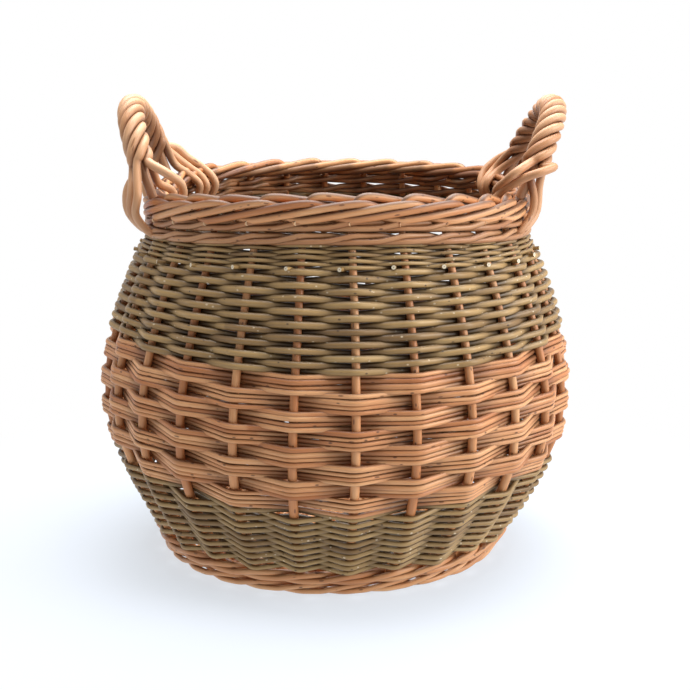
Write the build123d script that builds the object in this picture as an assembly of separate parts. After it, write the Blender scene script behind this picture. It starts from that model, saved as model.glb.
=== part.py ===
from build123d import *
import os
from math import asin, cos, degrees, pi, radians, sin

# A round-bellied willow basket. Its stakes stand in a ring, two weavers at a time chase each other
# between them, the stake tops are turned down into the border, and a roped handle stands each side.
# Lengths are in millimetres and angles in degrees, counted from the front towards the right.

# Driving dimensions of the stakes and of the wall that they draw
STAKE_COUNT = 26
FIRST_STAKE_ANGLE = 4.6
STAKE_BUTT = 9.0
STAKE_TIP = 5.8
FOOT_RADIUS = 157.0
BELLY_RADIUS = 221.0
NECK_RADIUS = 179.0
RIM_RADIUS = 174.0
BELLY_HEIGHT = 160.0
NECK_HEIGHT = 319.0
SIDE_DIP = 13.0
LOWER_FULLNESS = 1.2
UPPER_FULLNESS = 1.48

# Driving dimensions of the strands and of the bands that they fill
CLEARANCE = 0.3
FOOT_ROD = 5.6
FOOT_ROUND_COUNT = 2
GREEN_ROD = 5.7
SLEW_DEPTH = 5.0
SLEW_GAP = 1.8
SLEW_ROW_COUNT = 8
SLEW_START = 95.0
UPPER_START = 216.0
TOP_ROD = 4.1
TOP_ROUND_COUNT = 2
BORDER_ROD = 6.4
STEP_STAKE_COUNT = 4
BACK_STAKE_NUMBER = 9

# How a stake top travels in the border: stakes passed, then rod widths outwards and upwards from its
# middle. It rises over its own stake, drops behind the next, lies in front of three and ends behind one.
BORDER_ROUTE = (
    (0.10, -0.15, 0.95),
    (0.30, -0.15, 1.75),
    (1.00, -1.05, 0.65),
    (1.50, 0.0, -0.55),
    (2.00, 1.15, -1.05),
    (3.00, 1.25, 0.0),
    (4.00, 1.15, 1.0),
    (4.50, 0.0, 0.50),
    (5.00, -1.05, -0.40),
    (5.25, -0.75, -0.95),
)

# Driving dimensions of the base
BASE_STICK = 9.0
BASE_STICK_SIDES = 4
BASE_ROD = 8.0
BASE_ROD_HEIGHT = 5.6
BASE_LEVEL = 11.2
SLATH_HALF = 15.0
SPREAD_RADIUS = 30.0
BASE_START_RADIUS = 36.0
SLATH_STICK_COUNT = 3

# Driving dimensions of the handles
HANDLE_ANGLE = 91.0
HANDLE_HALF_SPAN = 19.5
HANDLE_LEG_RADIUS = 182.0
HANDLE_RISE = 72.0
LEFT_HANDLE_LEAN = 18.0
RIGHT_HANDLE_LEAN = 25.0
BOW_ROD = 9.0
BOW_SIDES = 6
ROPING_ROD = 8.0
ROPING_SIDES = 3
ROPING_STRAND_COUNT = 4
ROPING_TURN_COUNT = 3
TAIL_SPREAD = 1.35
ROPING_POINT_COUNT = 32
BOW_POINT_COUNT = 13

# Sizes that follow from the driving dimensions
STAKE_STEP = 360.0 / STAKE_COUNT
FOOT_STEP = FOOT_ROD + 2 * CLEARANCE
TOP_STEP = TOP_ROD + 2 * CLEARANCE
FOOT_TOP = 2 * FOOT_ROUND_COUNT * FOOT_STEP
TOP_WALE_TOP = NECK_HEIGHT + 2 * TOP_ROUND_COUNT * TOP_STEP
BORDER_STEP = BORDER_ROD + 2 * CLEARANCE
BORDER_LOWEST = BORDER_ROD / 2 - min(up for passed, out, up in BORDER_ROUTE) * BORDER_STEP
BORDER_HIGHEST = BORDER_ROD / 2 + max(up for passed, out, up in BORDER_ROUTE) * BORDER_STEP
BORDER_REACH = BORDER_ROD / 2 + max(out for passed, out, up in BORDER_ROUTE) * BORDER_STEP
RIM_HEIGHT = TOP_WALE_TOP + 2 * CLEARANCE + BORDER_LOWEST
SQUEEZE = 1 - SIDE_DIP / (RIM_HEIGHT - BELLY_HEIGHT)
SPOKE_COUNT = STAKE_COUNT // 2
SPOKE_STEP = 360.0 / SPOKE_COUNT


def true_wall(height):
    """Radius of the curved wall at the middle of the stakes: full at the belly, drawn in at the neck."""
    if height <= BELLY_HEIGHT:
        share = sin(pi / 2 * max(height, 0.0) / BELLY_HEIGHT) ** LOWER_FULLNESS
        return FOOT_RADIUS + (BELLY_RADIUS - FOOT_RADIUS) * share
    if height <= NECK_HEIGHT:
        share = ((height - BELLY_HEIGHT) / (NECK_HEIGHT - BELLY_HEIGHT)) ** UPPER_FULLNESS
        return BELLY_RADIUS + (NECK_RADIUS - BELLY_RADIUS) * share
    share = min((height - NECK_HEIGHT) / (RIM_HEIGHT - NECK_HEIGHT), 1.0)
    return NECK_RADIUS + (RIM_RADIUS - NECK_RADIUS) * share


# A stake runs straight between these heights, and so does the wall that is woven on it
STATIONS = [BELLY_HEIGHT * third / 3 for third in range(4)]
STATIONS += [BELLY_HEIGHT + (NECK_HEIGHT - BELLY_HEIGHT) * third / 3 for third in (1, 2, 3)]
STATIONS += [RIM_HEIGHT + BORDER_STEP]


def wall_radius(height):
    """Radius of the stakes' straight runs at a height."""
    for low, high in zip(STATIONS, STATIONS[1:]):
        if height <= high:
            break
    share = (height - low) / (high - low)
    return true_wall(low) + (true_wall(high) - true_wall(low)) * share


def stake_size(height):
    """Thickness of a tapering stake at a height."""
    return STAKE_BUTT + (STAKE_TIP - STAKE_BUTT) * height / STATIONS[-1]


def stake_angle(step):
    """Angle of a stake counted round from the back, where every weaver starts."""
    return FIRST_STAKE_ANGLE + (step - BACK_STAKE_NUMBER) * STAKE_STEP


def place(angle, radius, height):
    """A point of the basket. Above the belly the hand-made wall dips a little towards the handles."""
    share = max(height - BELLY_HEIGHT, 0.0) / (RIM_HEIGHT - BELLY_HEIGHT)
    dip = SIDE_DIP * share * sin(radians(angle)) ** 2
    return Vector(radius * sin(radians(angle)), -radius * cos(radians(angle)), height - dip)


def flat_face(corners):
    """One flat face, or two triangles where four corners don't share a plane."""
    if len(corners) == 4:
        normal = (corners[1] - corners[0]).cross(corners[2] - corners[0])
        if abs(normal.normalized().dot(corners[3] - corners[0])) > 1e-5:
            halves = (corners[:3], [corners[0], corners[2], corners[3]])
            return [Face(Wire.make_polygon(half, close=True)) for half in halves]
    return [Face(Wire.make_polygon(corners, close=True))]


def rod_through(rings):
    """The solid rod whose section passes through each ring of corners in turn."""
    sides = len(rings[0])
    faces = flat_face(rings[0][::-1]) + flat_face(rings[-1])
    for here, there in zip(rings, rings[1:]):
        for i in range(sides):
            j = (i + 1) % sides
            faces += flat_face([here[i], here[j], there[j], there[i]])
    return Solid(Shell(faces))


# Sections of the strands, as corners outwards and upwards from the middle in half thicknesses
ROOF_EAVES = -0.6
ROOF_RIDGE = 0.7
ROOF = ((1, ROOF_EAVES), (0, ROOF_RIDGE), (-1, ROOF_EAVES))
RIDGED = ((1, 0), (-1, 1), (-1, -1))
FLAT = ((1, 1), (-1, 1), (-1, -1), (1, -1))
DIAMOND = ((1, 0), (0, 1), (-1, 0), (0, -1))


def wall_rod(path, depth, thickness, section, level, radius):
    """A strand of the wall. Each corner line is the path grown or shrunk about the basket's axis at
    one level, which keeps every side of the strand flat."""
    shares = [(1 + out * depth / 2 / radius, up * thickness / 2) for out, up in section]
    pivot = Vector(0, 0, level)
    rings = []
    for point in path:
        arm = point - pivot
        rings.append([pivot + arm * share + Vector(0, 0, rise) for share, rise in shares])
    return rod_through(rings)


def beside_stake(height, side, depth, thickness, section, level, radius):
    """Radius of a strand's middle where it passes in front of a stake, or behind it. Each corner of its
    section, and each quarter of its edges, stays clear of the sloping stake."""
    limits = []
    for (out, up), (next_out, next_up) in zip(section, section[1:] + section[:1]):
        for quarter in range(4):
            aside = out + (next_out - out) * quarter / 4
            above = up + (next_up - up) * quarter / 4
            share = 1 + aside * depth / 2 / radius
            spot = level + (height - level) * share + above * thickness / 2
            bearing = wall_radius(spot) + side * (stake_size(spot) / 2 + CLEARANCE)
            limits.append(bearing / share)
    return max(limits) if side > 0 else min(limits)


def stake(step):
    """One upright rod, from just above the floor to its bend in the border."""
    angle = stake_angle(step)
    across = Vector(cos(radians(angle)), sin(radians(angle)), 0)
    heights = [FOOT_STEP / 2] + STATIONS[1:]
    rings = []
    for height in heights:
        half = stake_size(height) / 2
        radius = wall_radius(height)
        middle = place(angle, radius, height)
        outer = place(angle, radius + half, height)
        inner = place(angle, radius - half, height)
        rings.append([outer, middle + across * half, inner, middle - across * half])
    return rod_through(rings)


def step_up(step, first):
    """Share of a row climbed at a stake, in the few stakes at the back where a weaver steps up."""
    turn, position = divmod(step, STAKE_COUNT)
    return turn, min(max(position - first, 0), STEP_STAKE_COUNT) / STEP_STAKE_COUNT


def chasing_pair(start, end, rows, gap, depth, section):
    """Two weavers that chase each other: each in front of one stake and behind the next, a row apart."""
    pitch = (end - start) / rows
    thickness = pitch * SQUEEZE - gap
    turns = rows // 2
    level = (start + end) / 2
    radius = wall_radius(level)
    last_zone = STAKE_COUNT - STEP_STAKE_COUNT
    first_zone = last_zone - STEP_STAKE_COUNT
    pair = []
    for lead, first, last in ((0, 0, last_zone), (1, -STEP_STAKE_COUNT, first_zone)):
        path = []
        for step in range(first, STAKE_COUNT * (turns - 1) + last + 1):
            turn, early = step_up(step, first_zone)
            turn, late = step_up(step, last_zone)
            height = start + (2 * turn + early + late + lead + 0.5) * pitch
            side = 1 if (step + lead) % 2 == 0 else -1
            reach = beside_stake(height, side, depth, thickness, section, level, radius)
            path.append(place(stake_angle(step), reach, height))
        pair.append(wall_rod(path, depth, thickness, section, level, radius))
    return pair


def wale(start, rod, step_height, rounds):
    """Three rods, each in front of two stakes and behind the third, rising as they go to the right."""
    low = start - ROOF_EAVES * rod / 2
    radius = wall_radius(low)
    zone = STAKE_COUNT - STEP_STAKE_COUNT
    rods = []
    for lead in range(3):
        path = []
        for step in range(lead, STAKE_COUNT * (rounds - 1) + zone + lead - 2):
            turn, share = step_up(step, zone)
            base = low + (turn + share) * 2 * step_height
            next_turn, next_share = step_up(step + 1, zone)
            between = (base + low + (next_turn + next_share) * 2 * step_height) / 2
            role = (step - lead) % 3
            height = base + (0, 1, 0.5)[role] * step_height
            side = (1, 1, -1)[role]
            reach = beside_stake(height, side, rod, rod, ROOF, low, radius)
            path.append(place(stake_angle(step), reach, height))
            if role > 0:
                height = between + (1 if role == 1 else 0) * step_height
                path.append(place(stake_angle(step + 0.5), wall_radius(height), height))
        rods.append(wall_rod(path, rod, rod, ROOF, low, radius))
    return rods


def border_rod(step):
    """One stake top, turned down to the right."""
    path = []
    for passed, outwards, upwards in BORDER_ROUTE:
        radius = RIM_RADIUS + outwards * BORDER_STEP
        path.append(place(stake_angle(step + passed), radius, RIM_HEIGHT + upwards * BORDER_STEP))
    return wall_rod(path, BORDER_ROD, BORDER_ROD, DIAMOND, RIM_HEIGHT, RIM_RADIUS)


def mitred_rod(points, size, sides):
    """A rod of even thickness along straight runs, mitred where they meet."""
    runs = [(b - a).normalized() for a, b in zip(points, points[1:])]
    side = runs[0].cross(Vector(0, 0, 1))
    if side.length < 0.1:
        side = runs[0].cross(Vector(1, 0, 0))
    side = side.normalized()
    up = side.cross(runs[0])
    turns = [2 * pi * i / sides for i in range(sides)]
    ring = [points[0] + side * (cos(t) * size / 2) + up * (sin(t) * size / 2) for t in turns]
    rings = [ring]
    for i, run in enumerate(runs):
        normal = run if i + 1 == len(runs) else (run + runs[i + 1]).normalized()
        ring = [c + run * ((points[i + 1] - c).dot(normal) / run.dot(normal)) for c in ring]
        rings.append(ring)
    return rod_through(rings)


def spoke_angle(index):
    """Angle of a base spoke, which lies midway between two stakes."""
    return stake_angle(0.5) + index * SPOKE_STEP


def on_base(angle, radius, height):
    """A point of the flat base."""
    return Vector(radius * sin(radians(angle)), -radius * cos(radians(angle)), height)


# The sticks end against the foot wale, and the base's last turn lies inside its rods behind the stakes
STICK_END_RADIUS = wall_radius(FOOT_STEP) - FOOT_ROD / 2 + CLEARANCE
BASE_EDGE = wall_radius(0.0) - stake_size(0.0) / 2 - 2 * CLEARANCE - FOOT_ROD
BASE_END_RADIUS = (BASE_EDGE - BASE_ROD / 2) * cos(radians(SPOKE_STEP / 4)) / cos(radians(SPOKE_STEP / 2))


def base_stick(group, index):
    """One of the sticks laid three across three, spread so that its ends are evenly spaced spokes."""
    near = group * SLATH_STICK_COUNT + 1 + index
    far = near + SPOKE_COUNT // 2 - 2 * index
    axis = (spoke_angle(near - index) + spoke_angle(far + index) - 180.0) / 2
    level = BASE_LEVEL + (group - 0.5) * (BASE_STICK + CLEARANCE)
    beside = index * (BASE_STICK + CLEARANCE)
    points = [on_base(spoke_angle(near), STICK_END_RADIUS, BASE_LEVEL)]
    points.append(on_base(spoke_angle(near), SPREAD_RADIUS, BASE_LEVEL))
    for along in (SLATH_HALF, -SLATH_HALF):
        points.append(on_base(axis, along, level) + on_base(axis + 90.0, beside, 0.0))
    points.append(on_base(spoke_angle(far), SPREAD_RADIUS, BASE_LEVEL))
    points.append(on_base(spoke_angle(far), STICK_END_RADIUS, BASE_LEVEL))
    return mitred_rod(points, BASE_STICK, BASE_STICK_SIDES)


def half_stick():
    """The short stick that makes the number of spokes odd, so that one weaver can go on round."""
    angle = spoke_angle(SPOKE_COUNT - 1)
    points = [on_base(angle, radius, BASE_LEVEL) for radius in (SPREAD_RADIUS, STICK_END_RADIUS)]
    return mitred_rod(points, BASE_STICK, BASE_STICK_SIDES)


def base_weaver():
    """One rod, over one spoke and under the next, from the spread sticks out to the foot."""
    half = BASE_ROD / 2
    half_height = BASE_ROD_HEIGHT / 2
    lift = BASE_STICK / 2 + CLEARANCE + half_height
    turns = int((BASE_END_RADIUS - BASE_START_RADIUS) / (BASE_ROD + CLEARANCE))
    rings = []
    for step in range(turns * SPOKE_COUNT + 1):
        left = turns * SPOKE_COUNT - step
        radius = BASE_END_RADIUS - left * (BASE_ROD + CLEARANCE) / SPOKE_COUNT
        height = BASE_LEVEL + (lift if step % 2 == 0 else -lift)
        angle = spoke_angle(step)
        ring = [on_base(angle, radius + half, height - half_height)]
        ring.append(on_base(angle, radius, height + half_height))
        ring.append(on_base(angle, radius - half, height - half_height))
        rings.append(ring)
    return rod_through(rings)


def arch_point(side, turn, aside, outside):
    """A point beside a handle's bow: turn runs from 0 at the near leg to 180 at the far one, aside is
    measured in the plane of the bow, away from its middle, and outside square to that plane."""
    angle = radians(side * HANDLE_ANGLE)
    outwards = Vector(sin(angle), -cos(angle), 0)
    along = Vector(cos(angle), sin(angle), 0) * side
    lean = radians(RIGHT_HANDLE_LEAN if side > 0 else LEFT_HANDLE_LEAN)
    rising = outwards * sin(lean) + Vector(0, 0, cos(lean))
    facing = outwards * cos(lean) - Vector(0, 0, sin(lean))
    half_width = HANDLE_LEG_RADIUS * sin(radians(HANDLE_HALF_SPAN))
    slope = HANDLE_RISE / cos(lean)
    foot = outwards * HANDLE_LEG_RADIUS * cos(radians(HANDLE_HALF_SPAN)) + Vector(0, 0, HANDLE_SEAT)
    t = radians(turn)
    middle = foot - along * (half_width * cos(t)) + rising * (slope * sin(t))
    away = (rising * (half_width * sin(t)) - along * (slope * cos(t))).normalized()
    return middle + away * aside + facing * outside


# The bows stand on the border, at the higher of the two places that they stand on
FAR_LEG_ANGLE = HANDLE_ANGLE + HANDLE_HALF_SPAN
HANDLE_SEAT = place(FAR_LEG_ANGLE, RIM_RADIUS, RIM_HEIGHT).Z + BORDER_HIGHEST + 5 * CLEARANCE


def bow(side):
    """The thick rod bent into the arch of a handle."""
    points = [arch_point(side, 180.0 * i / (BOW_POINT_COUNT - 1), 0, 0) for i in range(BOW_POINT_COUNT)]
    return mitred_rod(points, BOW_ROD, BOW_SIDES)


def tail(side, leg_angle, aside, outer):
    """Where a roping strand leaves the bow's foot and lies down against the border."""
    half = ROPING_ROD / 2
    reach = BORDER_REACH + half
    radius = RIM_RADIUS + (reach if outer else -reach)
    angle = side * (leg_angle + degrees(asin(aside / radius)))
    points = [place(angle, radius, RIM_HEIGHT + BORDER_HIGHEST)]
    points.append(place(angle, radius, RIM_HEIGHT - BORDER_STEP))
    if outer:
        size = stake_size(NECK_HEIGHT) / 2 + TOP_ROD + CLEARANCE + half
        points.append(place(angle, wall_radius(NECK_HEIGHT) + size, NECK_HEIGHT))
    return points


def roping_strand(side, index):
    """One strand wound round a bow, its two ends laid outside the border or inside it."""
    reach = ((BOW_ROD + ROPING_ROD) / 2 + CLEARANCE) / cos(pi * ROPING_TURN_COUNT / ROPING_POINT_COUNT)
    start = 360.0 * (index + 0.5) / ROPING_STRAND_COUNT
    outer = cos(radians(start)) > 0
    swing = TAIL_SPREAD * reach * sin(radians(start))
    points = tail(side, HANDLE_ANGLE - HANDLE_HALF_SPAN, -swing, outer)[::-1]
    for i in range(ROPING_POINT_COUNT + 1):
        share = i / ROPING_POINT_COUNT
        turn = radians(start - side * 360.0 * ROPING_TURN_COUNT * share)
        points.append(arch_point(side, 180.0 * share, reach * sin(turn), reach * cos(turn)))
    points += tail(side, HANDLE_ANGLE + HANDLE_HALF_SPAN, swing, outer)
    return mitred_rod(points, ROPING_ROD, ROPING_SIDES)


def even_rows(space):
    """The even number of green rows that a band has room for."""
    return 2 * int(space / (2 * (GREEN_ROD + CLEARANCE)))


pieces = {}
for group, layer in enumerate(("under", "over")):
    for index in range(SLATH_STICK_COUNT):
        pieces[f"base_stick_{layer}_{index + 1}"] = base_stick(group, index - 1)
pieces["base_half_stick"] = half_stick()
pieces["base_weaver"] = base_weaver()

for step in range(STAKE_COUNT):
    pieces[f"stake_{step + 1:02d}"] = stake(step)

lower_start = FOOT_TOP + CLEARANCE
upper_end = NECK_HEIGHT - CLEARANCE
lower_end = SLEW_START - CLEARANCE
slew_end = UPPER_START - CLEARANCE
lower_rows = even_rows(lower_end - lower_start)
upper_rows = even_rows(upper_end - UPPER_START)
bands = {
    "foot_wale_rod": wale(0.0, FOOT_ROD, FOOT_STEP, FOOT_ROUND_COUNT),
    "lower_weaver": chasing_pair(lower_start, lower_end, lower_rows, CLEARANCE, GREEN_ROD, RIDGED),
    "slew_strand": chasing_pair(SLEW_START, slew_end, SLEW_ROW_COUNT, SLEW_GAP, SLEW_DEPTH, FLAT),
    "upper_weaver": chasing_pair(UPPER_START, upper_end, upper_rows, CLEARANCE, GREEN_ROD, RIDGED),
    "top_wale_rod": wale(NECK_HEIGHT, TOP_ROD, TOP_STEP, TOP_ROUND_COUNT),
}
for name, strands in bands.items():
    for number, strand in enumerate(strands):
        pieces[f"{name}_{number + 1}"] = strand

pieces["border"] = Compound(children=[border_rod(step) for step in range(STAKE_COUNT)])

for word, side in (("left", -1), ("right", 1)):
    pieces[f"handle_bow_{word}"] = bow(side)
    for index in range(ROPING_STRAND_COUNT):
        pieces[f"roping_strand_{word}_{index + 1}"] = roping_strand(side, index)

os.makedirs("parts", exist_ok=True)
for name, piece in pieces.items():
    export_step(piece, f"parts/{name}.step")
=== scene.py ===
from math import cos, pi, radians, sin

import bpy
import numpy as np
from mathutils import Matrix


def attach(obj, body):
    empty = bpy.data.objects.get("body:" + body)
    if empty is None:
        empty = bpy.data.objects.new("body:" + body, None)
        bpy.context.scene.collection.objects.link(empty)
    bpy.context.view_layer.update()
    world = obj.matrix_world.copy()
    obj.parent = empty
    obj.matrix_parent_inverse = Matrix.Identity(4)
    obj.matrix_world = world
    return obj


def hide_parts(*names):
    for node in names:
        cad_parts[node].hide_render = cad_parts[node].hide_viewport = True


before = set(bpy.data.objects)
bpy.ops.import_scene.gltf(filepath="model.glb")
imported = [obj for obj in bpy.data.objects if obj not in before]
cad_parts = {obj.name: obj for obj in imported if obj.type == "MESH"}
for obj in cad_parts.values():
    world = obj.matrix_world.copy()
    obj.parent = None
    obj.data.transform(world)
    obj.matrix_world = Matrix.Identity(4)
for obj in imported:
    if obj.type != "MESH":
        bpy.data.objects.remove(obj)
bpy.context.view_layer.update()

# Base sticks: six stout buff willow sticks, three laid across three, and one half stick.
# Their ends are spread into thirteen spokes, which a single weaver then fills from the middle out.
# Lengths are in millimetres here, and a mesh is turned to metres when it is made.
MM = 0.001
SIDE_DIP = 13.0
DIP_FADE = radians(33.0)
BELLY_HEIGHT = 160.0
RIM_HEIGHT = 348.95
SWAY = ((0.0, 40.0, 160.0, 300.0), (7.0, 3.0, 1.2, 0.0))
BAND_LIFT = ((24.0, 95.0, 216.0, 319.0), (0.0, 16.0, 9.0, 0.0))
LEFT_LIFT = 0.22
FRONT_DROP = 0.08
NECK_LIFT = ((216.0, 320.0, 338.0, 349.0), (0.0, 5.0, 5.0, 0.0))
STAKE_COUNT = 26
STAKE_STEP = 360.0 / STAKE_COUNT
FIRST_STAKE_ANGLE = 4.6
BACK_STAKE_NUMBER = 9
SPOKE_COUNT = 13
SPOKE_STEP = 360.0 / SPOKE_COUNT
BASE_LEVEL = 11.2
STICK_RADIUS = 4.4
SLATH_HALF = 15.0
STICK_PITCH = 2 * STICK_RADIUS + 0.4
SPOKE_RADII = (30.0, 90.0, 156.0)
ROD_LENGTH = 1150.0
GRAIN_SPREAD = 9000.0
# Where rods lie one on another, painted shade darkens their upper and lower sides: it starts at this share
# of the way round and grows over this span.
TOUCH_FROM = 0.45
TOUCH_SPAN = 0.5
UPWARDS = (0, 0, 1)
rng = np.random.default_rng(26)


def place(angle, radius, height):
    """Points of the basket: the angle runs from the front towards the right. The hand-made wall dips
    towards the handles, its bands rise towards the sides, most at the left, its neck is highest at
    the back, and its lower half stands a little to the left."""
    angle, radius, height = np.broadcast_arrays(np.radians(angle), radius, height)
    share = np.clip(height - BELLY_HEIGHT, 0.0, None) / (RIM_HEIGHT - BELLY_HEIGHT)
    behind = np.clip((np.abs((angle + pi) % (2 * pi) - pi) - pi / 2) / DIP_FADE, 0.0, 1.0)
    dip = SIDE_DIP * share * np.where(behind > 0.0, np.cos(pi / 2 * behind), np.sin(angle)) ** 2
    lift = np.interp(height, *BAND_LIFT) * (np.sin(angle) ** 2 - LEFT_LIFT * np.sin(angle) - FRONT_DROP)
    lift = lift + np.interp(height, *NECK_LIFT) * behind**2
    sway = np.interp(height, *SWAY)
    return np.stack((radius * np.sin(angle) - sway, -radius * np.cos(angle), height - dip + lift), axis=-1)


def stake_angle(step):
    """Angle of a stake counted round from the back, where every weaver starts."""
    return FIRST_STAKE_ANGLE + (step - BACK_STAKE_NUMBER) * STAKE_STEP


def smooth_line(points, steps):
    """A smooth line through the points, with that many steps between two of them."""
    points = np.asarray(points, float)
    ends = np.vstack((2 * points[0] - points[1], points, 2 * points[-1] - points[-2]))
    a, b, c, d = ends[:-3, None], ends[1:-2, None], ends[2:-1, None], ends[3:, None]
    t = (np.arange(steps) / steps)[None, :, None]
    bends = 2 * b + (c - a) * t + (2 * a - 5 * b + 4 * c - d) * t**2 + (3 * b - a - 3 * c + d) * t**3
    return np.vstack((bends.reshape(-1, points.shape[1]) / 2, points[-1:]))


def unit(vectors):
    return vectors / np.linalg.norm(vectors, axis=-1, keepdims=True)


def uneven(count, reach, spacing):
    """Slow random wander of a hand-worked line, in steps of the given number of points."""
    marks = rng.normal(0.0, reach, count // spacing + 3)
    return np.interp(np.arange(count) / spacing, np.arange(len(marks)), marks)


def rods_piece(name, rods, sides, contact_shade_share=0.0):
    """One piece made of round rods. Each rod is its line, its half thickness along it, a direction that
    it never runs along, and the painted shade along it, which stands in for shadow where it lies behind
    others. The grain attribute is the place in the rod as if it lay straight. Rods that lie one on another
    get painted shade where they meet. The shade goes into a point attribute that darkens the colour."""
    turn = 2 * pi * np.arange(sides) / sides
    contact_shade = contact_shade_share * np.clip((np.abs(np.sin(turn)) - TOUCH_FROM) / TOUCH_SPAN, 0.0, 1.0)
    corners, grain, tone, cut, painted_shade, faces = [], [], [], [], [], []
    count = 0
    for points, half, up, shade_behind in rods:
        run = unit(np.gradient(points, axis=0))
        side = unit(np.cross(run, up))
        rise = np.cross(side, run)
        half = np.broadcast_to(half, len(points))
        around = np.cos(turn)[None, :, None] * side[:, None] + np.sin(turn)[None, :, None] * rise[:, None]
        rings = points[:, None] + half[:, None, None] * around
        length = np.concatenate(([0.0], np.cumsum(np.linalg.norm(np.diff(points, axis=0), axis=1))))
        length = length + rng.uniform(0.0, GRAIN_SPREAD)
        across = half[:, None] * np.cos(turn)
        upright = half[:, None] * np.sin(turn)
        laid = np.stack(np.broadcast_arrays(length[:, None], across, upright), -1)
        rings_count = len(points)
        corners += [rings.reshape(-1, 3), rings[0], rings[-1]]
        grain += [laid.reshape(-1, 3), laid[0], laid[-1]]
        total = (rings_count + 2) * sides
        rod_tones = rng.uniform(size=int((length[-1] - length[0]) // ROD_LENGTH) + 1)
        tones = rod_tones[((length - length[0]) // ROD_LENGTH).astype(int)]
        tone.append(np.repeat(np.concatenate((tones, tones[[0, -1]])), sides))
        # Painted shade: where the rod lies behind others, and where rods meet.
        shade = 1 - (1 - np.broadcast_to(shade_behind, rings_count)[:, None]) * (1 - contact_shade)
        painted_shade += [shade.ravel(), np.zeros(2 * sides)]
        cut.append(np.repeat((0.0, 1.0), (rings_count * sides, 2 * sides)))
        first = count + np.arange(rings_count - 1)[:, None] * sides + np.arange(sides)
        after = count + np.arange(rings_count - 1)[:, None] * sides + (np.arange(sides) + 1) % sides
        faces += np.stack((first, after, after + sides, first + sides), -1).reshape(-1, 4).tolist()
        cap = count + rings_count * sides
        faces += [list(range(cap + sides - 1, cap - 1, -1)), list(range(cap + sides, cap + 2 * sides))]
        count += total
    mesh = bpy.data.meshes.new(name)
    mesh.from_pydata(np.concatenate(corners) * MM, [], faces)
    mesh.polygons.foreach_set("use_smooth", [len(face) == 4 for face in faces])
    grain_layer = mesh.attributes.new("grain", "FLOAT_VECTOR", "POINT")
    grain_layer.data.foreach_set("vector", np.concatenate(grain).ravel())
    for layer, values in (("tone", tone), ("cut", cut), ("painted_shade", painted_shade)):
        mesh.attributes.new(layer, "FLOAT", "POINT").data.foreach_set("value", np.concatenate(values))
    piece = bpy.data.objects.new(name, mesh)
    bpy.context.scene.collection.objects.link(piece)
    return piece


class Wire:
    """A value in a material. Sums on it add Math nodes, and node() adds any other node."""

    def __init__(self, tree, socket=None):
        self.tree = tree
        self.socket = socket

    def node(self, kind, settings=None, sockets=None, output=0):
        made = self.tree.nodes.new(kind)
        for name, value in (settings or {}).items():
            setattr(made, name, value)
        for name, value in (sockets or {}).items():
            if isinstance(value, Wire):
                self.tree.links.new(value.socket, made.inputs[name])
            else:
                made.inputs[name].default_value = value
        return Wire(self.tree, made.outputs[output] if made.outputs else None)

    def math(self, operation, first, second):
        return self.node("ShaderNodeMath", {"operation": operation}, {0: first, 1: second})

    def mix(self, share, first, second):
        return self.node("ShaderNodeMix", {"data_type": "RGBA"}, {0: share, 6: first, 7: second}, 2)

    def ramp(self, low, high):
        """0 below the low value, 1 above the high one, and smooth between them."""
        span = {"interpolation_type": "SMOOTHSTEP"}
        return self.node("ShaderNodeMapRange", span, {"Value": self, "From Min": low, "From Max": high})

    def __add__(self, other):
        return self.math("ADD", self, other)

    def __sub__(self, other):
        return self.math("SUBTRACT", self, other)

    def __rsub__(self, other):
        return self.math("SUBTRACT", other, self)

    def __mul__(self, other):
        return self.math("MULTIPLY", self, other)

    __radd__ = __add__
    __rmul__ = __mul__


def colour(red, green, blue):
    """A colour seen on screen, as the plain light that a shader takes."""
    seen = np.array((red, green, blue)) / 255.0
    plain = np.where(seen <= 0.04045, seen / 12.92, ((seen + 0.055) / 1.055) ** 2.4)
    return (*plain.tolist(), 1.0)


PITH = colour(150, 104, 64)


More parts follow.
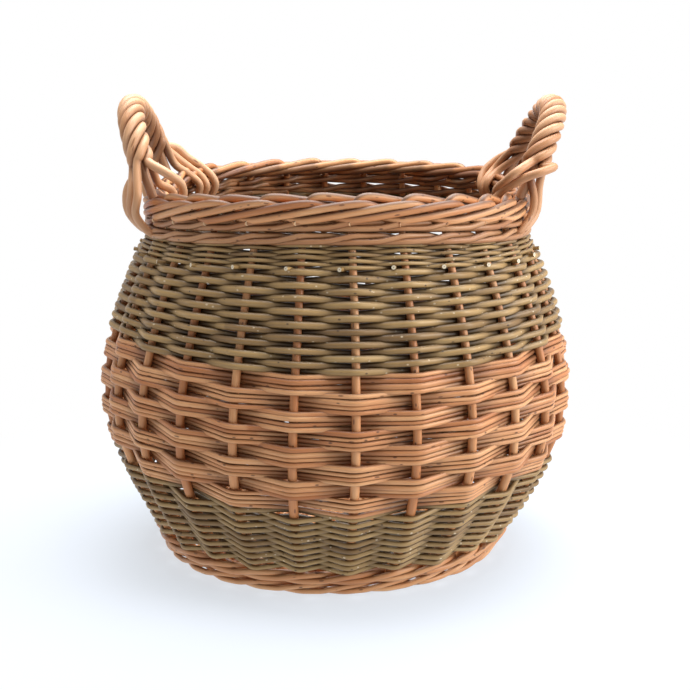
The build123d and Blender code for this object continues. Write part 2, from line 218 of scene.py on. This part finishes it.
def willow(name, pale, warm, deep, mark, fleck, painted_shade_colour, end, scar_gap, fleck_gap):
    """Willow rods: fibres run along each rod, rods differ in tone, leaf scars mark them here and there,
    they get painted shade where they lie behind others or against each other, and a cut end shows its pith."""
    material = bpy.data.materials.new(name)
    material.use_nodes = True
    tree = material.node_tree
    tree.nodes.clear()
    w = Wire(tree)
    grain = w.node("ShaderNodeAttribute", {"attribute_name": "grain"}, output="Vector")
    tone = w.node("ShaderNodeAttribute", {"attribute_name": "tone"}, output="Fac")
    cut = w.node("ShaderNodeAttribute", {"attribute_name": "cut"}, output="Fac")
    painted_shade = w.node("ShaderNodeAttribute", {"attribute_name": "painted_shade"}, output="Fac")

    def stretched(along, across):
        scaled = {0: grain, 1: (1.0 / along, 1.0 / across, 1.0 / across)}
        return w.node("ShaderNodeVectorMath", {"operation": "MULTIPLY"}, scaled)

    def noise(along, across, detail):
        parts = {"Vector": stretched(along, across), "Scale": 1.0, "Detail": detail, "Roughness": 0.6}
        return w.node("ShaderNodeTexNoise", None, parts)

    def spots(along, across, low, high):
        parts = {"Vector": stretched(along, across), "Scale": 1.0, "Randomness": 1.0}
        return 1.0 - w.node("ShaderNodeTexVoronoi", None, parts).ramp(low, high)

    fibre = noise(26.0, 0.55, 3.0)
    cloud = noise(38.0, 5.0, 2.0)
    patch = noise(160.0, 30.0, 1.0)
    scar_share = spots(scar_gap, 8.0, 0.07, 0.14)
    fleck_share = spots(fleck_gap, 7.0, 0.09, 0.15)
    warmth = cloud.ramp(0.36, 0.66) * 0.4 + fibre.ramp(0.35, 0.7) * 0.35 + tone * 0.5
    body = w.mix(warmth, pale, warm)
    body = w.mix(patch.ramp(0.45, 0.7) * 0.5 + tone.ramp(0.45, 1.0) * 0.6, body, deep)
    body = w.mix(scar_share * 0.8, body, mark)
    body = w.mix(fleck_share * 0.75, body, fleck)
    # Painted shade: a dark colour mixed in by the shade attribute, in place of the shadow in crevices and
    # behind neighbours.
    body = w.mix(painted_shade * 0.92, body, painted_shade_colour)
    off_middle = w.node("ShaderNodeVectorMath", {"operation": "LENGTH"}, {0: stretched(1e9, 1.0)}, "Value")
    body = w.mix(cut, body, w.mix(1.0 - off_middle.ramp(0.2, 0.6), end, PITH))
    height = fibre * 0.25 + cloud * 0.25 - scar_share * 0.9
    bump = w.node("ShaderNodeBump", None, {"Strength": 0.35, "Distance": 0.0006, "Height": height})
    shader = w.node(
        "ShaderNodeBsdfPrincipled",
        None,
        {"Base Color": body, "Roughness": fibre * 0.2 + 0.36, "Specular IOR Level": 0.5, "Normal": bump},
    )
    w.node("ShaderNodeOutputMaterial", None, {"Surface": shader})
    return material


buff_willow = willow(
    "buff_willow",
    pale=colour(240, 184, 130),
    warm=colour(214, 142, 88),
    deep=colour(180, 110, 60),
    mark=colour(86, 46, 24),
    fleck=colour(112, 66, 38),
    # Dark colour of the painted shade in crevices and behind neighbours.
    painted_shade_colour=colour(52, 20, 7),
    end=colour(226, 192, 150),
    scar_gap=16.0,
    fleck_gap=20.0,
)


def fix(piece, material, slot, *nodes):
    piece.data.materials.append(material)
    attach(piece, "root")
    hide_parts(*nodes)


def spoke_angle(index):
    """Angle of a base spoke, which lies midway between two stakes."""
    return stake_angle(0.5) + index * SPOKE_STEP


def spoke(index):
    """Points along a spoke, from the crossing of the sticks to the foot."""
    return [place(spoke_angle(index), radius, BASE_LEVEL) for radius in SPOKE_RADII]


for group, layer in enumerate(("under", "over")):
    for index in (-1, 0, 1):
        near = group * 3 + 1 + index
        far = near + SPOKE_COUNT // 2 - 2 * index
        axis = (spoke_angle(near - index) + spoke_angle(far + index) - 180.0) / 2
        level = BASE_LEVEL + (group - 0.5) * STICK_PITCH
        beside = place(axis + 90.0, index * STICK_PITCH, BASE_LEVEL) - place(0.0, 0.0, BASE_LEVEL)
        crossing = [place(axis, along, level) + beside for along in (SLATH_HALF, 0.0, -SLATH_HALF)]
        line = smooth_line(spoke(near)[::-1] + crossing + spoke(far), 6)
        name = f"base_stick_{layer}_{index + 2}"
        stick = rods_piece(name, [(line, STICK_RADIUS, UPWARDS, 0.0)], 10)
        fix(stick, buff_willow, "buff_willow", name)
line = smooth_line(spoke(SPOKE_COUNT - 1), 6)
half_stick = rods_piece("base_half_stick", [(line, STICK_RADIUS, UPWARDS, 0.0)], 10)
fix(half_stick, buff_willow, "buff_willow", "base_half_stick")

# Base weaver: one long buff rod, worked over one spoke and under the next.
# It starts at the crossing of the sticks and goes round until it meets the foot.
BASE_PITCH = 5.2
BASE_ROD_RADIUS = 3.3
BASE_END_RADIUS = 149.0
BASE_TURNS = 23
BASE_PRESS = 2.0
steps = np.arange(0, BASE_TURNS * SPOKE_COUNT + 0.01, 1 / 6)
radius = BASE_END_RADIUS - (BASE_TURNS * SPOKE_COUNT - steps) * BASE_PITCH / SPOKE_COUNT
height = BASE_LEVEL + (STICK_RADIUS + BASE_ROD_RADIUS - BASE_PRESS) * np.cos(pi * steps)
line = place(spoke_angle(steps), radius, height)
half = BASE_ROD_RADIUS + uneven(len(line), 0.15, 20)
# The base weaver gets a little painted shade all along.
base_weaver = rods_piece("base_weaver", [(line, half, UPWARDS, 0.2)], 8)
fix(base_weaver, buff_willow, "buff_willow", "base_weaver")

# Stakes: twenty-six upright buff rods, the bones of the wall. Their thick butts stand at the foot
# and they draw the belly and the neck, up to the bend where each is turned down into the border.
FOOT_RADIUS = 157.0
BELLY_RADIUS = 222.5
NECK_RADIUS = 179.0
RIM_RADIUS = 174.0
NECK_HEIGHT = 319.0
FULL_HEIGHT = 140.0
LOWER_FULLNESS = 1.2
UPPER_FULLNESS = 1.48
STAKE_BUTT = 9.2
STAKE_TIP = 6.2
STAKE_FOOT = 3.0
STAKE_TOP = RIM_HEIGHT + 2.0
STAKE_POINTS = 60


def wall_radius(height):
    """Radius of the wall at the middle of the stakes: full at the belly and drawn in at the neck."""
    low = np.sin(pi / 2 * np.clip(height / FULL_HEIGHT, 0.0, 1.0)) ** LOWER_FULLNESS
    high = np.clip((height - BELLY_HEIGHT) / (NECK_HEIGHT - BELLY_HEIGHT), 0.0, 1.0) ** UPPER_FULLNESS
    rim = np.clip((height - NECK_HEIGHT) / (RIM_HEIGHT - NECK_HEIGHT), 0.0, 1.0)
    belly = FOOT_RADIUS + (BELLY_RADIUS - FOOT_RADIUS) * low + (NECK_RADIUS - BELLY_RADIUS) * high
    return belly + (RIM_RADIUS - NECK_RADIUS) * rim


def stake_size(height):
    return STAKE_BUTT + (STAKE_TIP - STAKE_BUTT) * height / RIM_HEIGHT


for step in range(STAKE_COUNT):
    heights = np.linspace(STAKE_FOOT, STAKE_TOP, STAKE_POINTS)
    angle = stake_angle(step) + uneven(STAKE_POINTS, 0.18, 20)
    line = place(angle, wall_radius(heights), heights)
    outwards = place(angle, 1.0, 0.0) - place(angle, 0.0, 0.0)
    stake = rods_piece(f"stake_{step + 1:02d}", [(line, stake_size(heights) / 2, outwards, 0.0)], 10)
    fix(stake, buff_willow, "buff_willow", f"stake_{step + 1:02d}")

# Foot wale: three buff rods twined together, each in front of two stakes and behind the third.
# They bind the stakes to the edge of the base, and the basket stands on the lowest of them.
FOOT_ROD = 5.5
FOOT_STEP = 6.1
STEP_STAKES = 4
SPAN_STEPS = 12


def soften(values, reach):
    """The values with their corners rounded over that many points."""
    padded = np.pad(values, reach, mode="edge")
    return np.convolve(padded, np.ones(2 * reach + 1) / (2 * reach + 1), "valid")


def climb(step, first):
    """Rows climbed at a stake, where a strand steps up to its next turn within a few stakes."""
    turn = np.floor(step / STAKE_COUNT)
    return turn, np.clip(step - turn * STAKE_COUNT - first, 0, STEP_STAKES) / STEP_STAKES


def pulled(line):
    """The line pulled straight between the stakes, with a short bend at each of them."""
    every = np.arange(len(line))
    stakes = every[::SPAN_STEPS]
    return np.stack([soften(np.interp(every, stakes, line[stakes, axis]), 1) for axis in range(3)], axis=-1)


def on_wall(step, height, side, reach, tilt):
    """A line that passes in front of stakes where side is 1 and behind them where it is -1, square to
    the wall: a strand in front of an overhanging wall hangs lower than one behind it."""
    slope = (wall_radius(height + 1.0) - wall_radius(height - 1.0)) / 2 * tilt
    flat = 1 / np.sqrt(1 + slope**2)
    outwards = side * reach * flat
    return place(stake_angle(step), wall_radius(height) + outwards, height - outwards * slope)


def wale_rods(start, rod, step_height, rounds, tilt, shade):
    """The three rods of a wale, rising as they go to the right. Their ends lie behind stakes at the
    back, and none goes below the floor."""
    zone = STAKE_COUNT - STEP_STAKES
    rods = []
    for lead in range(3):
        marks = []
        for step in range(lead - STEP_STAKES, STAKE_COUNT * rounds + lead - 1):
            base, between = (
                start + rod / 2 + np.clip(sum(climb(at, zone)), 0, rounds - 1) * 2 * step_height
                for at in (step, step + 0.5)
            )
            role = (step - lead) % 3
            marks.append((step, (1, 1, -1)[role], base + (0, 1, 0.5)[role] * step_height))
            if role == 0:
                marks.append((step + 0.5, 1, between + 0.12 * step_height))
            else:
                onwards, climbed = (0.62, step_height) if role == 1 else (0.38, 0.0)
                marks.append((step + onwards, 0, between + climbed))
        marks = np.array(marks, float)
        steps = np.arange(marks[0, 0], marks[-1, 0], 1 / SPAN_STEPS)
        side = soften(np.interp(steps, marks[:, 0], marks[:, 1]), 1)
        height = soften(np.interp(steps, marks[:, 0], marks[:, 2]), 1) + uneven(len(steps), 0.25, 10)
        half = rod / 2 + uneven(len(steps), 0.2, 60)
        height = np.maximum(height, half)
        line = on_wall(steps, height, side, (stake_size(height) + rod) / 2, tilt)
        # Painted shade: up to 0.7 where a rod goes behind a stake, and never less than the given share
        # along it.
        rods.append((line, half, UPWARDS, np.clip(0.3 - side, shade, 0.7)))
    return rods


for number, rod in enumerate(wale_rods(0.0, FOOT_ROD, FOOT_STEP, 2, 0.0, 0.0)):
    foot_wale = rods_piece(f"foot_wale_rod_{number + 1}", [rod], 12, 0.6)
    fix(foot_wale, buff_willow, "buff_willow", f"foot_wale_rod_{number + 1}")

# Lower band: two unpeeled, olive green weavers that chase each other round the overhanging wall,
# each in front of one stake and behind the next. They are thin and sharply bent at the stakes.
LOWER_START = 26.5
LOWER_ROWS = 19
LOWER_ROD = 4.9
SLEW_START = 95.0
green_willow = willow(
    "green_willow",
    pale=colour(190, 156, 102),
    warm=colour(164, 128, 76),
    deep=colour(128, 96, 54),
    mark=colour(62, 42, 26),
    # The pale flecks on the green bark are painted highlights: small glints.
    fleck=colour(232, 214, 180),
    # Dark colour of the painted shade in crevices and behind neighbours.
    painted_shade_colour=colour(34, 20, 9),
    end=colour(232, 218, 190),
    scar_gap=12.0,
    fleck_gap=9.0,
)


def chasing_pair(start, end, rows):
    """The lines of two weavers: which stakes they pass, at what height, and on which side. They start
    and end a few stakes beyond their rows, behind their neighbours."""
    pitch = (end - start) / rows
    last_zone = STAKE_COUNT - STEP_STAKES
    first_zone = last_zone - STEP_STAKES
    lines = []
    for lead, first, last in ((0, -STEP_STAKES, STAKE_COUNT), (1, 1 - 2 * STEP_STAKES, last_zone + 1)):
        turns = (rows + 1 - lead) // 2
        steps = np.arange(first, STAKE_COUNT * (turns - 1) + last + 0.01, 1 / SPAN_STEPS)
        turn, early = climb(steps, first_zone)
        turn, late = climb(steps, last_zone)
        height = start + np.clip(2 * turn + early + late + lead + 0.5, 0.5, rows - 0.5) * pitch
        side = 1 - 2 * np.abs((steps + lead) % 2 - 1)
        lines.append((steps, height, side))
    return lines


def tapers(steps, turn_share, deep):
    """Rods follow each other in a strand, each from its thick butt to its thin tip."""
    place_in_rod = np.modf((steps - steps[0]) / (STAKE_COUNT * turn_share) + rng.uniform())[0]
    return 1 + deep * (1 - 2 * soften(place_in_rod, 3))


def shade_behind(side):
    """Painted shade on a weaver where it goes in behind its neighbours, in place of their shadow."""
    return 0.85 * np.clip((0.3 - side) / 0.9, 0.0, 1.0)


for number, (steps, height, side) in enumerate(chasing_pair(LOWER_START, SLEW_START - 1, LOWER_ROWS)):
    height = height + uneven(len(steps), 0.35, SPAN_STEPS)
    half = LOWER_ROD / 2 * tapers(steps, 0.93, 0.1)
    line = pulled(on_wall(steps, height, side, (stake_size(height) + LOWER_ROD) / 2, 0.8))
    weaver = rods_piece(f"lower_weaver_{number + 1}", [(line, half, UPWARDS, shade_behind(side))], 12, 0.75)
    fix(weaver, green_willow, "green_willow", f"lower_weaver_{number + 1}")

# Slewed band: round the belly, groups of about four thin buff rods travel together as one flat
# strand, in front of one stake and behind the next. The rods are pressed close and slip a little.
SLEW_ROWS = 8
SLEW_ROD = 4.9
SLEW_RODS = 4
SLEW_HEIGHT = 17.7
# The slewed rods get this share of the painted shade behind the stakes.
SLEW_SHADE = 0.65
UPPER_START = 216.0
for number, (steps, height, side) in enumerate(chasing_pair(SLEW_START, UPPER_START - 0.5, SLEW_ROWS)):
    halves = np.array([SLEW_ROD / 2 * tapers(steps, rng.uniform(0.8, 1.1), 0.3) for k in range(SLEW_RODS)])
    levels = 2 * np.cumsum(halves, axis=0) - halves
    levels = (levels / (2 * halves.sum(axis=0)) - 0.5) * SLEW_HEIGHT * (1 - 0.02 * side)
    rods = []
    for half, level in zip(halves, levels):
        rod_height = height + level + uneven(len(steps), 0.4, SPAN_STEPS)
        reach = (stake_size(height) + SLEW_ROD) / 2 + uneven(len(steps), 0.3, SPAN_STEPS)
        line = pulled(on_wall(steps, rod_height, side, reach, 0.4))
        rods.append((line, half, UPWARDS, SLEW_SHADE * shade_behind(side)))
    strand = rods_piece(f"slew_strand_{number + 1}", rods, 12, 0.75)
    fix(strand, buff_willow, "buff_willow", f"slew_strand_{number + 1}")

# Upper band: two stouter green weavers, then two thin ones for the last rows under the top wale.
# Each thin rod starts with its butt cut off short beside a stake, which leaves a row of pale ends.
THIN_START = 300.5
UPPER_ROWS = 16
UPPER_ROD = 6.4
THIN_ROWS = 8
THIN_ROD = 3.9
STUB_RADIUS = 1.9
STUB_REACH = (-4.0, 9.6)
thick = chasing_pair(UPPER_START, THIN_START, UPPER_ROWS)
thin = chasing_pair(THIN_START, NECK_HEIGHT + 2.5, THIN_ROWS)
for number in range(2):
    rods = []
    for (steps, height, side), size in ((thick[number], UPPER_ROD), (thin[number], THIN_ROD)):
        height = height + uneven(len(steps), 0.3, SPAN_STEPS)
        half = size / 2 * tapers(steps, 0.87, 0.09)
        reach = (stake_size(height) + size) / 2
        line = pulled(on_wall(steps, height, side, reach, 1.0))
        rods.append((line, half, UPWARDS, shade_behind(side)))
    for step in range(number, STAKE_COUNT, 2):
        step = step - 0.2 + rng.uniform(-0.05, 0.05)
        stub_height = THIN_START + 0.6 + rng.normal(0.0, 0.8)
        ends = np.linspace(*STUB_REACH, 4)
        angle = stake_angle(step - ends * 0.008)
        line = place(angle, wall_radius(stub_height) + ends, stub_height + ends * 0.15)
        rods.append((line, STUB_RADIUS, UPWARDS, 0.0))
    weaver = rods_piece(f"upper_weaver_{number + 1}", rods, 12, 0.75)
    fix(weaver, green_willow, "green_willow", f"upper_weaver_{number + 1}")

# Top wale: three buff rods worked like the foot wale, two rounds of them.
# They lock the green band and carry the border.
TOP_ROD = 5.5
TOP_STEP = 5.5
TOP_START = NECK_HEIGHT + 1.0
# Painted shade: the top wale is darker all along, in place of the shadow under the border.
TOP_SHADE = 0.38
for number, rod in enumerate(wale_rods(TOP_START, TOP_ROD, TOP_STEP, 2, 1.0, TOP_SHADE)):
    top_wale = rods_piece(f"top_wale_rod_{number + 1}", [rod], 12, 0.8)
    fix(top_wale, buff_willow, "buff_willow", f"top_wale_rod_{number + 1}")

# Border: the tops of the stakes, turned down to the right one after the other. Each rises over its
# own stake, drops behind the next two, lies in front of three and goes in again behind one more.
# Its tip is cut off below the border, except at the back, where the rods lie closer and end inside.
BORDER_ROD = 7.2
BORDER_STEP = 7.0
BORDER_MIDDLE = 3.5
BACK_ANGLE = 120.0
BORDER_ROUTE = (
    (-0.02, 0.0, -0.6),
    (0.05, -0.05, 0.7),
    (0.30, -0.15, 1.65),
    (1.00, -0.95, 1.15),
    (2.00, -1.05, 0.1),
    (2.50, 0.0, -0.6),
    (3.00, 1.1, -1.0),
    (4.00, 1.2, 0.0),
    (5.00, 1.1, 1.0),
    (5.50, 0.05, 0.5),
    (6.00, -1.0, -1.15),
    (6.50, -0.3, -1.25),
    (6.80, 0.75, -1.35),
    (6.93, 1.35, -1.4),
)
BACK_ROUTE = BORDER_ROUTE[:4] + (
    (2.00, -1.05, 0.4),
    (2.50, 0.05, 0.05),
    (3.00, 1.35, -0.1),
    (4.00, 1.3, 0.5),
    (5.00, 1.05, 1.2),
    (5.50, 0.1, 0.9),
    (6.00, -0.55, 0.5),
)
rods = []
for step in range(STAKE_COUNT):
    at_back = abs((stake_angle(step + BORDER_MIDDLE) + 180.0) % 360.0 - 180.0) > BACK_ANGLE
    route = smooth_line(BACK_ROUTE if at_back else BORDER_ROUTE, 6)
    passed = step + route[:, 0] + rng.normal(0.0, 0.02)
    radius = RIM_RADIUS + route[:, 1] * BORDER_STEP + uneven(len(route), 0.3, 12)
    height = RIM_HEIGHT + route[:, 2] * BORDER_STEP + uneven(len(route), 0.4, 12)
    half = BORDER_ROD / 2 * np.interp(route[:, 0], (0.0, 5.2, 6.6), (1.02, 0.95, 0.62))
    line = place(stake_angle(passed), radius, height)
    outwards = place(stake_angle(passed), 1.0, 0.0) - place(stake_angle(passed), 0.0, 0.0)
    # Painted shade where a border rod lies inside the wall, except high up on the border; the rods also get
    # painted shade where they meet.
    border_shade = np.clip(-route[:, 1] - 0.3, 0.0, 0.65) * (route[:, 2] < 1.0)
    rods.append((line, half, outwards * 0.4 + UPWARDS, border_shade))
border = rods_piece("border", rods, 12, 0.95)
fix(border, buff_willow, "buff_willow", "border")

# Handles: on each side a thick rod is bent into a bow, its ends pushed down beside the stakes.
# Five long buff rods are roped round it. Where they leave it, some are laid down outside the border
# and the others over it to the inside, each in its own way; the spots are angle, radius and height.
HANDLE_ANGLE = 91.0
HANDLE_HALF_SPAN = 19.5
HANDLE_LEG_RADIUS = 182.0
HANDLE_RISE = 72.0
HANDLE_SEAT = 354.5
ROPE_RADIUS = 13.0
BOW_RADIUS = 4.6
STRANDS = 5
LINE_STEPS = 5
GRIP_SHADE = 0.55
SEAM_SHADE = 0.85
SEAM_FROM = 1.0
SEAM_SPAN = 3.0
HANDLES = (
    {
        "word": "left",
        "side": -1,
        "lean": 18.0,
        "turns": 3,
        "rod": 8.8,
        "roped": (0.1, 0.85),
        "near": (
            ((65, 171, 371), (65, 158, 361), (66, 155, 349), (67, 160, 338), (67, 167, 328)),
            ((75, 173, 360), (78, 160, 352), (79, 157, 343), (79, 166, 329)),
            ((74, 201, 356), (74, 202, 336), (71, 193, 322), (69, 181, 315)),
            ((70, 200, 354), (70.5, 201, 335), (69, 191, 321), (68, 181, 314)),
            ((67, 197, 352), (67.5, 199, 334), (67.5, 190, 320), (67, 181, 313)),
        ),
        "far": (
            ((107, 197, 360), (106, 201, 342), (106, 191, 323), (106, 180, 315)),
            ((111, 198, 360), (111, 201, 342), (111, 191, 323), (111, 180, 315)),
            (
                *((116, 185, 383), (120, 178, 372), (124, 168, 361)),
                *((126, 160, 352), (127, 158, 342), (127, 166, 329)),
            ),
            ((114, 183, 376), (118, 174, 364), (121, 163, 353), (122, 158, 342), (122, 166, 330)),
            ((112, 178, 368), (115, 167, 357), (117, 158, 347), (118, 160, 338), (118, 166, 329)),
        ),
    },
    {
        "word": "right",
        "side": 1,
        "lean": 25.0,
        "turns": 3.5,
        "rod": 8.4,
        "roped": (0.1, 0.9),
        "near": (
            ((76, 172, 362), (77, 159, 351), (78, 158, 341), (78, 166, 329)),
            ((76, 194, 356), (75, 193, 334), (71, 187, 321), (68, 180, 314)),
            (
                *((72, 209, 376), (68, 200, 372), (67, 189, 368), (67, 178, 362)),
                *((68, 165, 354), (68, 158, 344), (68, 166, 330)),
            ),
            ((66, 179, 372), (67, 168, 363), (69, 158, 354), (71, 157, 343), (72, 166, 330)),
            ((71, 189, 362), (71.5, 192, 347), (70.5, 191, 333), (67, 185, 320), (65, 179, 312)),
        ),
        "far": (
            ((107, 197, 360), (106, 201, 342), (106, 191, 323), (106, 180, 315)),
            ((111, 198, 360), (111, 201, 342), (111, 191, 323), (111, 180, 315)),
            ((115, 179, 371), (116, 166, 360), (114, 158, 348), (113, 160, 338), (113, 166, 329)),
            ((113, 174, 364), (112, 161, 352), (111, 158, 342), (111, 166, 329)),
            ((110, 172, 361), (109, 159, 351), (109, 158, 341), (109, 166, 329)),
        ),
    },
)
# The handles get a paler, less saturated copy of the buff willow: a painted highlight for their brighter,
# washed-out look in the top light.
painted_highlight_willow = willow(
    "painted_highlight_willow",
    pale=colour(226, 180, 140),
    warm=colour(210, 154, 108),
    deep=colour(184, 126, 82),
    mark=colour(120, 72, 42),
    fleck=colour(146, 94, 58),
    # Dark colour of the painted shade in crevices and behind neighbours.
    painted_shade_colour=colour(96, 46, 20),
    end=colour(232, 204, 166),
    scar_gap=34.0,
    fleck_gap=40.0,
)


def arch(side, lean, turn):
    """The middle line of a handle, with the directions away from its middle and outwards."""
    angle = radians(side * HANDLE_ANGLE)
    outwards = np.array((sin(angle), -cos(angle), 0.0))
    along = np.array((cos(angle), sin(angle), 0.0)) * side
    rising = outwards * sin(radians(lean)) + np.array((0.0, 0.0, cos(radians(lean))))
    facing = outwards * cos(radians(lean)) - np.array((0.0, 0.0, sin(radians(lean))))
    half_width = HANDLE_LEG_RADIUS * sin(radians(HANDLE_HALF_SPAN))
    slope = HANDLE_RISE / cos(radians(lean))
    foot = outwards * HANDLE_LEG_RADIUS * cos(radians(HANDLE_HALF_SPAN)) + np.array((0.0, 0.0, HANDLE_SEAT))
    t = np.radians(turn)[:, None]
    middle = foot - along * (half_width * np.cos(t)) + rising * (slope * np.sin(t))
    away = unit(rising * (half_width * np.sin(t)) - along * (slope * np.cos(t)))
    return middle, away, np.broadcast_to(facing, middle.shape)


def laid_in(side, spots):
    """The end of a roping rod, from the rope down to where it is tucked in."""
    angle, radius, height = np.array(spots, float).T
    turn = np.radians(side * angle)
    return np.stack((radius * np.sin(turn), -radius * np.cos(turn), height), axis=-1)


def paint_seam_shade(roping, middle):
    """Painted shade on the strands where they lie below the rope's surface, between their neighbours, in
    place of the shadow there.
    """
    corners = np.empty(3 * len(roping.data.vertices))
    roping.data.vertices.foreach_get("co", corners)
    depth = ROPE_RADIUS - np.linalg.norm(corners.reshape(-1, 1, 3) / MM - middle, axis=-1).min(axis=1)
    painted_shade = roping.data.attributes["painted_shade"].data
    shade = np.empty(len(painted_shade))
    painted_shade.foreach_get("value", shade)
    seam = SEAM_SHADE * np.clip((depth - SEAM_FROM) / SEAM_SPAN, 0.0, 1.0)
    painted_shade.foreach_set("value", 1 - (1 - shade) * (1 - seam))


for handle in HANDLES:
    word, side, lean = handle["word"], handle["side"], handle["lean"]
    middle, away, facing = arch(side, lean, np.linspace(-6.0, 186.0, 40))
    # The bow inside the rope gets painted shade all along, in place of the rope's shadow.
    bow = rods_piece(f"handle_bow_{word}", [(middle, BOW_RADIUS, facing, 0.4)], 12)
    fix(bow, painted_highlight_willow, "buff_willow", f"handle_bow_{word}")
    reach = ROPE_RADIUS - handle["rod"] / 2
    share = np.linspace(*handle["roped"], 28)
    middle, away, facing = arch(side, lean, 180.0 * share)
    rods = []
    for k in range(STRANDS):
        turn = np.radians(360.0 * (k + 0.5) / STRANDS - side * 360.0 * handle["turns"] * share)[:, None]
        wound = middle + (away * np.sin(turn) + facing * np.cos(turn)) * reach
        ends = laid_in(side, handle["near"][k])[::-1], laid_in(side, handle["far"][k])
        line = smooth_line(np.vstack((ends[0], wound, ends[1])), LINE_STEPS)
        thinning = np.interp(np.linspace(0, 1, len(line)), (0, 0.15, 0.85, 1), (0.8, 1, 1, 0.8))
        half = handle["rod"] / 2 * thinning * (1 + uneven(len(line), 0.03, 15))
        # Painted shade on the side of each strand that faces down into the opening under the grip, in place
        # of its shadow.
        shade = GRIP_SHADE * np.clip(0.2 - np.sin(turn[:, 0]), 0.0, 1.0)
        shade = np.pad(shade, (len(ends[0]), len(ends[1])))
        shade = np.interp(np.arange(len(line)) / LINE_STEPS, np.arange(len(shade)), shade)
        rods.append((line, half, unit(line - middle.mean(axis=0)), shade))
    roping = rods_piece(f"roping_{word}", rods, 12)
    paint_seam_shade(roping, arch(side, lean, np.linspace(0.0, 180.0, 120))[0])
    fix(roping, painted_highlight_willow, "buff_willow", *[f"roping_strand_{word}_{k}" for k in (1, 2, 3, 4)])

# Stage: a pale floor that glows, lighting the basket from below and keeping only a faint shadow, and runs
# out to a white backdrop; two soft lamps, one large overhead and one at the right like a window;
# and the photograph's viewpoint.
FLOOR_HALF = 4.0
FLOOR_LEVEL = -0.0004
floor_mesh = bpy.data.meshes.new("floor")
floor_signs = ((-1, -1), (1, -1), (1, 1), (-1, 1))
floor_corners = [(x * FLOOR_HALF, y * FLOOR_HALF, FLOOR_LEVEL) for x, y in floor_signs]
floor_mesh.from_pydata(floor_corners, [], [(0, 1, 2, 3)])
floor = bpy.data.objects.new("floor", floor_mesh)
bpy.context.scene.collection.objects.link(floor)
floor_paint = bpy.data.materials.new("floor_paint")
floor_paint.use_nodes = True
floor_paint.node_tree.nodes.clear()
w = Wire(floor_paint.node_tree)
spot = w.node("ShaderNodeNewGeometry", output="Position")
distance = w.node("ShaderNodeVectorMath", {"operation": "LENGTH"}, {0: spot}, "Value")
seen = w.node("ShaderNodeLightPath", output="Is Camera Ray")
paint = w.node("ShaderNodeBsdfDiffuse", None, {"Color": (0.78, 0.85, 0.97, 1.0)})
far = distance.ramp(0.25, 0.55)
tint = w.mix(far, (0.9, 0.945, 1.0, 1.0), (1.0, 1.0, 1.0, 1.0))
# Painted light: the floor glows, pale blue near the basket and white further out. Other rays see 0.85 of
# the glow, which lights the basket from below; the camera sees 0.7 of it near the basket and all of it
# further out, so the shadow there is faint.
white = w.node("ShaderNodeEmission", None, {"Color": tint, "Strength": 1.0})
ground = w.node("ShaderNodeMixShader", None, {0: (far * 0.3 - 0.15) * seen + 0.85, 1: paint, 2: white})
w.node("ShaderNodeOutputMaterial", None, {"Surface": ground})
floor_mesh.materials.append(floor_paint)

world = bpy.data.worlds.new("studio")
bpy.context.scene.world = world
world.use_nodes = True
world.node_tree.nodes.clear()
w = Wire(world.node_tree)
seen = w.node("ShaderNodeLightPath", output="Is Camera Ray")
glossy = w.node("ShaderNodeLightPath", output="Is Glossy Ray")
through = w.node("ShaderNodeLightPath", output="Is Transmission Ray")
fill = w.node("ShaderNodeBackground", None, {"Color": (0.93, 0.96, 1.0, 1.0), "Strength": 0.15})
backdrop = w.node("ShaderNodeBackground", None, {"Color": (1.0, 1.0, 1.0, 1.0), "Strength": 1.0})
white_share = w.math("MAXIMUM", w.math("MAXIMUM", seen, glossy), through)
shown = w.node("ShaderNodeMixShader", None, {0: white_share, 1: fill, 2: backdrop})
w.node("ShaderNodeOutputWorld", None, {"Surface": shown})

for name, spot, size, power in (
    ("window", (2.0, -0.5, 1.0), 1.2, 39.0),
    ("sky", (0.2, 0.5, 2.4), 2.4, 130.0),
):
    lamp = bpy.data.lights.new(name, "AREA")
    lamp.size = size
    lamp.energy = power
    lamp_object = bpy.data.objects.new(name, lamp)
    lamp_object.location = spot
    aim = np.array((0.0, 0.0, 0.2)) - np.array(spot)
    tilt = float(np.arctan2(np.hypot(aim[0], aim[1]), -aim[2]))
    bearing = float(np.arctan2(aim[0], -aim[1])) + pi
    lamp_object.rotation_euler = (tilt, 0.0, bearing)
    bpy.context.scene.collection.objects.link(lamp_object)

camera = bpy.data.cameras.new("camera")
camera.lens = 72.91
camera.sensor_width = 36.0
viewpoint = bpy.data.objects.new("camera", camera)
viewpoint.location = (0.00759, -1.35, 0.49286)
viewpoint.rotation_euler = (radians(77.544), 0.0, 0.0)
bpy.context.scene.collection.objects.link(viewpoint)
bpy.context.scene.camera = viewpoint
bpy.context.scene.view_settings.view_transform = "Standard"
